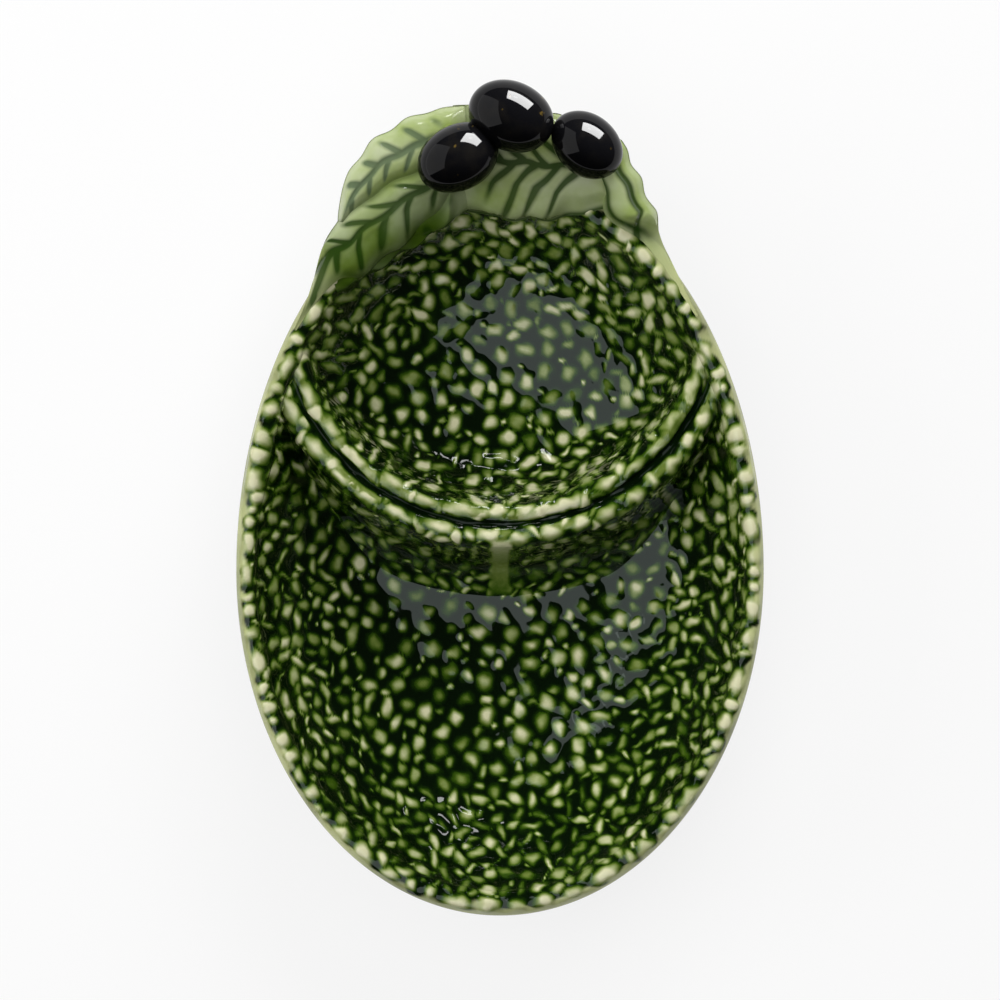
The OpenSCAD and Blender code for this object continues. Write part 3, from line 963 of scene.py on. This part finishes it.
def olive_glaze():
    """Black glaze with small brown specks, which are painted reflections of something warm."""
    n = Nodes("olive_glaze")
    cloud = n.noise(220, 3)
    colour = n.ramp(cloud, (0.45, (0.0010, 0.0010, 0.0012)), (0.78, (0.0022, 0.0020, 0.0018)))
    # Small brown specks: painted reflections of something warm
    colour = n.mix(n.span(n.noise(330, 2), 0.70, 0.76, 0, 0.8), colour, (0.030, 0.020, 0.004))
    n.bump(n.noise(160, 2), 0.00012, 0.1)
    return n.finish(colour, n.span(cloud, 0.3, 0.7, 0.03, 0.06), 1.25)


def bare_clay():
    """Unglazed biscuit with a wash of glaze at its upper edge."""
    n = Nodes("bare_clay")
    speck, cloud = n.noise(1500, 2), n.noise(120, 4)
    colour = n.ramp(cloud, (0.3, (0.50, 0.38, 0.26)), (0.7, (0.64, 0.53, 0.40)))
    colour = n.mix(n.span(speck, 0.62, 0.72, 0, 0.5), colour, (0.28, 0.18, 0.10))
    colour = n.mix(n.attribute("wash"), colour, DEEP_GREEN)
    n.bump(speck, 0.0002, 0.5)
    return n.finish(colour, n.span(n.attribute("wash"), 0, 1, 0.8, 0.15))


# Pieces

PEBBLE_LIFT = 0.30
BUTTON_LIFT = 0.25
UNDULATION = 0.05
UNDER_RELIEF = 0.9
# How pale pebbles stay where they meet
FLOOR_JOINT = 0.5
WALL_JOINT = 0.65
DIVIDER_JOINT = 0.85
POOL_H = 1.3
POOL_Q = 15.0
POOL_HALF_W = 7.5


def foot_pool(points):
    """Height of the glaze that gathers along the foot of the divider's front."""
    offset = np.hypot(points[:, 0], DIVIDER_Y - points[:, 1]) - DIVIDER_R
    return POOL_H * bell(offset - POOL_Q, POOL_HALF_W) * (1 + 0.15 * waves(points, 18, 37))


def make_bowl(surface, pebbles):
    """The bowl, with its pebbles raised under the glaze inside and smooth glaze outside."""
    points, facing, faces, rows, profile = surface
    crest_row = int(np.argmax(profile[:, 1]))
    inside = smooth(crest_row + 9, crest_row + 3, rows)
    on_rim = smooth(crest_row - 11, crest_row - 3, rows)
    on_floor = smooth(FLOOR_R + 16, FLOOR_R - 4, plan_radius(points))
    joint = WALL_JOINT + (FLOOR_JOINT - WALL_JOINT) * on_floor
    pale, swell, lean, tone = pebble_field(points, pebbles, 1 - on_floor, joint)
    pale = pale * (0.90 + 0.10 * smooth(-75, 0, points[:, 1]) + 0.16 * on_rim)
    pool = on_floor * inside
    # Thin cream glaze along the outside of the rim, less of it at the front
    strip = crest_row + 3.0 + 2.6 * waves(points, 5, 36) + 1.0 * smooth(-50, -95, points[:, 1])
    rim = smooth(strip - 1.5, strip + 1.5, rows) * smooth(crest_row + 16, crest_row + 11, rows)
    relief = (PEBBLE_LIFT * swell + lean) * (1 - 0.6 * pool) + BUTTON_LIFT * pale * on_rim
    lift = (relief + UNDULATION * waves(points, 11, 3) + foot_pool(points)) * inside
    under = surface_normals(points + facing * (UNDER_RELIEF * pale * inside)[:, None], faces)
    outer = 0.22 + 0.10 * waves(points, 22, 5)
    new_piece(
        "glazed_bowl", points + facing * lift[:, None], faces,
        {"pebble": outer + (pale - outer) * inside, "tone": tone, "pool": pool, "rim": rim, "under": under},
        glaze, "pebbled_glaze", "oval_bowl",
    )


FOOT_DIP = 0.25
UNDER_MID_WALL = 0.6
RUN_HALF_W = 2.7
RUN_END = 22.0
RUN_TONE = 0.9
SEAM_POOL = 1.4
SEAM_HALF_W = 1.6
# Paleness left in the groove: pooled glaze, and painted shade of the recess
SEAM_PALE = 0.06
# Where glaze has run across the groove
BRIDGE_X = 1.8
BRIDGE_HALF_W = 1.8
# Share of painted shade on the divider's front flank
FLANK_SHADE = 0.30
PIT_DARK = 0.4
LIP_FLAT = 0.45
DIVIDER_POOL = 0.8
RIPPLE = 0.24
RIPPLE_HALF_W = 9.0


def lip_glaze(points, offset):
    """Paleness of the thin glaze on the lips: nearly unbroken on the stone well's side, patchy in front."""
    wander = 0.4 * waves(points, 16, 32)
    back = smooth(1.9, 0.6, np.abs(offset + LIP_Q - 0.4 + wander)) * (0.64 + 0.24 * waves(points, 7, 33))
    patches = smooth(-0.8, 0.3, waves(points, 9, 34))
    front = 0.58 * smooth(1.9, 0.7, np.abs(offset - LIP_Q + 0.4 + wander)) * patches
    return np.maximum(back, front)


def seam_glaze(points, offset):
    """Where the groove between the lips is dark, from 0 to 1, and the height of the glaze that fills it.

    The dark is partly glaze pooled in the groove and partly painted shade of the recess.
    """
    aside = offset + 0.4 * waves(points, 13, 31)
    bridge = bell(points[:, 0] - BRIDGE_X, BRIDGE_HALF_W)
    groove = smooth(1.35, 0.4, np.abs(aside))
    groove = groove * np.clip(0.82 + 0.3 * waves(points, 15, 41) - 0.4 * bridge, 0, 1)
    filled = SEAM_POOL * np.clip(0.9 + 0.30 * waves(points, 9, 35) + 0.5 * bridge, 0.4, 1.3)
    return groove, filled * bell(aside, SEAM_HALF_W)


def glaze_run(points, offset):
    """Where a run of glaze goes down the divider's front, from 0 to 1."""
    aside = np.abs(points[:, 0] + 0.3 * waves(points, 14, 38))
    run = smooth(RUN_HALF_W + 1.0, RUN_HALF_W - 1.0, aside) * smooth(LIP_Q, LIP_Q + 1.5, offset)
    return run * smooth(RUN_END, RUN_END - 6.0, offset)


def divider_paleness(points, offset, pale, groove, run):
    """Paleness of pebbles on the divider, with its lips, its groove and the run.

    The front flank has painted shade, and the stone well's side is darker between its pebbles.
    """
    pale = np.maximum(pale, lip_glaze(points, offset))
    pale = pale * (1 - groove) + SEAM_PALE * groove
    run_pale = 0.34 + 0.16 * smooth(19.0, 8.0, offset) + 0.32 * smooth(10.0, 5.0, offset)
    pale = pale * (1 - run) + run_pale * run
    # Painted shade on the front flank, which faces away from the key light
    flank = smooth(LIP_Q + 2.5, LIP_Q + 4.5, offset) * smooth(24.0, 14.0, offset)
    pale = pale * (1 - FLANK_SHADE * flank * (1 - run))
    pit_side = smooth(-LIP_Q - 2.5, -LIP_Q - 5.0, offset)
    return pale * (1 - PIT_DARK * pit_side * (1 - pale))


def foot_relief(points, offset, relief):
    """Relief lowered at the divider's foot, which dips under the floor, and rippled in the stone well."""
    z = points[:, 2]
    relief = relief * (1 - 0.6 * smooth(FLOOR_Z + 4, FLOOR_Z, z))
    relief = relief - FOOT_DIP * smooth(FLOOR_Z + 0.8, FLOOR_Z - 0.2, z)
    ripple = RIPPLE * waves(points, 6.5, 43) * bell(points[:, 0], RIPPLE_HALF_W)
    return relief + ripple * smooth(-7.0, -10.0, offset)


def make_divider(surface, pebbles):
    """The divider, pebbled like the bowl, with its foot in the bowl's wall."""
    points, facing, section = surface
    points, facing = points.reshape(-1, 3), facing.reshape(-1, 3)
    grid = np.arange(len(points)).reshape(-1, len(section))
    offset = np.tile(section[:, 0], len(grid))
    groove, filled = seam_glaze(points, offset)
    run = glaze_run(points, offset)
    on_lip = smooth(LIP_Q + 3.5, LIP_Q + 1.5, np.abs(offset))
    pale, swell, lean, tone = pebble_field(points, pebbles, 0.0, DIVIDER_JOINT)
    pale = divider_paleness(points, offset, pale, groove, run)
    relief = (PEBBLE_LIFT * swell + lean) * (1 - groove) * (1 - run) + BUTTON_LIFT * pale * on_lip
    relief = foot_relief(points, offset, relief)
    top = points + facing * (relief + UNDULATION * waves(points, 11, 3) + foot_pool(points))[:, None]
    top[:, 2] += filled
    low = points.copy()
    low[:, 2] = mid_wall_z(low) - UNDER_MID_WALL
    pebbled = points + facing * (UNDER_RELIEF * pale * (1 - LIP_FLAT * on_lip))[:, None]
    under = surface_normals(pebbled, sheet_faces(grid))
    marks = {
        "pebble": pale, "tone": tone * (1 - run) + RUN_TONE * run, "groove": groove,
        "pool": np.full_like(pale, DIVIDER_POOL), "rim": np.zeros_like(pale),
    }
    marks = {key: np.tile(mark, 2) for key, mark in marks.items()}
    marks["under"] = np.concatenate([under, -under])
    new_piece(
        "divider_wall", np.concatenate([top, low]), slab_faces(grid), marks,
        glaze, "divider_glaze", "divider",
    )


def make_pebbled():
    """The bowl and the divider, which share one spread of pebbles."""
    bowl, wall = bowl_surface(), divider_surface()
    points, facing, _, rows, profile = bowl
    section = wall[2]
    flat, flat_facing = wall[0].reshape(-1, 3), wall[1].reshape(-1, 3)
    spread = np.concatenate([points, flat])
    facing_all = np.concatenate([facing, flat_facing])
    steep = np.concatenate([smooth(0.99, 0.85, facing[:, 2]), np.full(len(flat), 0.9)])
    # A point stands for the room round it, which grows away from the bowl's axis
    room = 0.2 + np.hypot(points[:, 0], points[:, 1] - WIDE_Y) / 90
    inside = rows < np.argmax(profile[:, 1]) - 3
    bare = flat[:, 2] > mid_wall_z(flat) + WALL / 2
    seam = np.abs(np.tile(section[:, 0], len(wall[0]))) < 1.5
    pebbles = scatter(
        spread * FLATTENED, unit(facing_all / FLATTENED),
        rim_ways=unit(np.cross(facing_all, [0, 0, 1])) * (steep * 1.6)[:, None],
        weights=np.concatenate([np.where(inside, room, 0), np.where(bare & ~seam, 0.5, 0)]),
        rooms=FLOOR_ROOM + (WALL_ROOM - FLOOR_ROOM) * steep,
        # Pebbles are finer on the walls, most of all in the front well
        scales=1 - steep * (0.05 + 0.19 * smooth(10, -20, spread[:, 1])),
        longest=1.5 + 1.6 * steep,
        rows=rim_row() + lip_row(1, (4, 13), (-1.8, 1.0)) + lip_row(-1, (6, 16), (-2.6, 0.4)),
    )
    make_bowl(bowl, pebbles)
    make_divider(wall, pebbles)


def make_leaves():
    for leaf in LEAVES:
        new_piece(leaf.node + "_glazed", *leaf_mesh(leaf), foliage, "leaf_glaze", leaf.node)


OLIVE_NODES = ("olive_left", "olive_top", "olive_right")
OLIVE_ROWS = 72
OLIVE_COLS = 96
OLIVE_ROLL = 0.9
OLIVE_UNEVEN = 0.012


def olive_points(i):
    """Points of an olive, in rings from end to end."""
    centre, half_len, half_d, turn = olive_shape(i)
    tilt = np.linspace(0, math.pi, OLIVE_ROWS + 1)[1:-1, None]
    angle = np.arange(OLIVE_COLS) * 2 * math.pi / OLIVE_COLS
    rings = np.stack([
        np.cos(tilt) + 0 * angle, np.sin(tilt) * np.cos(angle), np.sin(tilt) * np.sin(angle),
    ], axis=-1)
    ball = np.concatenate([[[1, 0, 0]], rings.reshape(-1, 3), [[-1, 0, 0]]])
    ball = ball * (1 + OLIVE_UNEVEN * waves(ball, 1.6, 40 + i))[:, None]
    local = ball * [half_len, half_d, half_d]
    # Glaze gathers in a thin roll where the olive meets the leaf
    above = local[:, 2] + half_d - OLIVE_SINK
    roll = OLIVE_ROLL * bell(above, OLIVE_ROLL)
    x, y, z = (local + unit(local * [1, 1, 0]) * roll[:, None]).T
    c, s = math.cos(turn), math.sin(turn)
    return np.stack([x * c - y * s, x * s + y * c, z], axis=1) + centre


def make_olives():
    faces = join_rings([OLIVE_COLS] * (OLIVE_ROWS - 1))
    for i, node in enumerate(OLIVE_NODES):
        new_piece(node + "_glazed", olive_points(i), faces, {}, olive, "olive_glaze", node)


FOOT_W = 6.0
FOOT_BEVEL = 1.0
FOOT_STEPS = 192


def make_foot():
    """The ring that the dish stands on, with rounded edges and a wash of glaze at its top."""
    half, eased = FOOT_W / 2, FOOT_BEVEL * 0.3
    side = np.array([
        (half, FOOT_H), (half, FOOT_H * 0.6), (half, FOOT_BEVEL), (half - eased, eased),
        (half - FOOT_BEVEL, 0),
    ])
    outline = np.concatenate([side * [-1, 1], side[::-1]]) + [FLOOR_R - half, 0]
    angle = np.arange(FOOT_STEPS) * 2 * math.pi / FOOT_STEPS
    rings = [np.column_stack([*egg(r, angle)[:2], np.full(FOOT_STEPS, z)]) for r, z in outline]
    points = np.concatenate(rings)
    grid = np.arange(len(points)).reshape(len(outline), FOOT_STEPS)
    grid = np.pad(grid, ((0, 1), (0, 1)), "wrap")
    wash = smooth(FOOT_H * 0.45, FOOT_H * 0.95, points[:, 2] + 0.6 * waves(points, 9, 8))
    new_piece("foot", points, sheet_faces(grid), {"wash": wash}, clay, "bare_clay", "foot_ring")


# Stage

FLOOR_HALF = 3.0
FLOOR_LOW = -0.00005
FLOOR_WHITE = 0.8
FLOOR_GLOW = 0.80


def make_stage():
    """A pale floor that looks white and still takes the dish's shadow."""
    mesh = bpy.data.meshes.new("floor")
    corners = [(x * FLOOR_HALF, y * FLOOR_HALF, FLOOR_LOW) for x, y in ((-1, -1), (1, -1), (1, 1), (-1, 1))]
    mesh.from_pydata(corners, [], [(0, 1, 2, 3)])
    n = Nodes("floor")
    n.finish((FLOOR_WHITE,) * 3, 0.9)
    n.shader.inputs["Specular IOR Level"].default_value = 0.0
    path = n.add("ShaderNodeLightPath").outputs
    seen = n.math("MAXIMUM", path["Is Camera Ray"], path["Is Glossy Ray"])
    seen = n.math("MAXIMUM", seen, path["Is Transmission Ray"])
    glow = n.add("ShaderNodeEmission")
    mixed = n.add("ShaderNodeMixShader")
    n.link(n.math("MULTIPLY", seen, FLOOR_GLOW), mixed.inputs["Fac"])
    n.link(n.shader.outputs["BSDF"], mixed.inputs[1])
    n.link(glow.outputs["Emission"], mixed.inputs[2])
    n.link(mixed.outputs["Shader"], n.tree.nodes["Material Output"].inputs["Surface"])
    mesh.materials.append(n.material)
    floor = bpy.data.objects.new("floor", mesh)
    bpy.context.scene.collection.objects.link(floor)


def area_light(name, where, aim, size, brightness, mirrored=True, lights=True):
    """A soft box of an even brightness, which the glaze may mirror, and which may light the dish."""
    light = bpy.data.lights.new(name, "AREA")
    light.shape = "RECTANGLE"
    light.size, light.size_y = size
    light.energy = brightness * math.pi * size[0] * size[1]
    lamp = bpy.data.objects.new(name, light)
    lamp.location = where
    lamp.rotation_euler = (Vector(aim) - Vector(where)).to_track_quat("-Z", "Y").to_euler()
    lamp.visible_glossy = mirrored
    lamp.visible_diffuse = lights
    bpy.context.scene.collection.objects.link(lamp)
    return lamp


def shine_on(lamp, names):
    """Lets a lamp light only the pieces whose names start with one of the given names."""
    pieces = bpy.data.collections.new(lamp.name + "_receivers")
    for piece in bpy.context.scene.collection.objects:
        if piece.type == "MESH" and piece.name.startswith(names):
            pieces.objects.link(piece)
    lamp.light_linking.receiver_collection = pieces


SHEEN_COLOUR = (0.89, 1.02, 0.98)
WORLD_GREY = (0.5, 0.5, 0.5, 1)
WORLD_STRENGTH = 0.035


def make_light():
    """Boxes, panels and a ceiling that light the dish, and lamps that shine on certain pieces alone."""
    area_light("key_box", (0.34, 1.04, 0.62), (0, 0.04, 0.04), (1.0, 0.75), 6.2, mirrored=False)
    area_light("key_lamp", (0.28, 0.90, 0.56), (0, 0.04, 0.04), (0.13, 0.10), 8)
    box = area_light("olive_box", (0.44, 0.96, 0.60), (0, 0.08, 0.05), (0.95, 0.70), 55)
    wall = area_light("olive_wall", (-0.85, 0.15, 0.62), (0, 0.1, 0.35), (1.7, 1.3), 1.3)
    area_light("left_panel", (-0.46, -0.44, 1.18), (0, 0, 0.03), (1.7, 1.0), 0.8, mirrored=False)
    area_light("left_fill", (-0.90, 0.15, 0.45), (0.04, 0, 0.03), (0.8, 0.6), 3.5, mirrored=False)
    sheen = area_light("panel_sheen", (-0.44, -0.42, 1.13), (0, 0, 0.03), (1.7, 1.0), 1.2, lights=False)
    strip = area_light("strip_sheen", (-0.31, 0.25, 1.10), (0, -0.03, 0.03), (0.36, 0.22), 1.2, lights=False)
    glint = area_light("glint_box", (0.0, 0.88, 0.52), (0, 0.04, 0.04), (0.28, 0.22), 11, lights=False)
    area_light("ceiling", (0, 0, 2.2), (0, 0, 0), (2.4, 2.4), 1.1, mirrored=False)
    for lamp in (box, wall):
        shine_on(lamp, "olive_")
    for lamp in (sheen, strip):
        lamp.data.color = SHEEN_COLOUR
        shine_on(lamp, ("glazed_bowl", "divider_wall"))
    shine_on(glint, ("divider_wall", "leaf_"))
    world = bpy.data.worlds.new("studio")
    world.use_nodes = True
    background = world.node_tree.nodes["Background"]
    background.inputs["Color"].default_value = WORLD_GREY
    background.inputs["Strength"].default_value = WORLD_STRENGTH
    bpy.context.scene.world = world


FRAME_MM = 257.2
CAMERA_UP = 1.25


def make_camera():
    """A camera straight above the dish, which shows a square of FRAME_MM at the height of the rim."""
    data = bpy.data.cameras.new("camera")
    data.sensor_width = 36
    data.lens = data.sensor_width * CAMERA_UP / (FRAME_MM * MM)
    camera = bpy.data.objects.new("camera", data)
    camera.location = (0, 0, RIM_H * MM + CAMERA_UP)
    bpy.context.scene.collection.objects.link(camera)
    bpy.context.scene.camera = camera


glaze, foliage, olive, clay = pebbled_glaze(), leaf_glaze(), olive_glaze(), bare_clay()
make_pebbled()
make_leaves()
make_olives()
make_foot()
make_stage()
make_light()
make_camera()
bpy.context.scene.view_settings.view_transform = "Standard"
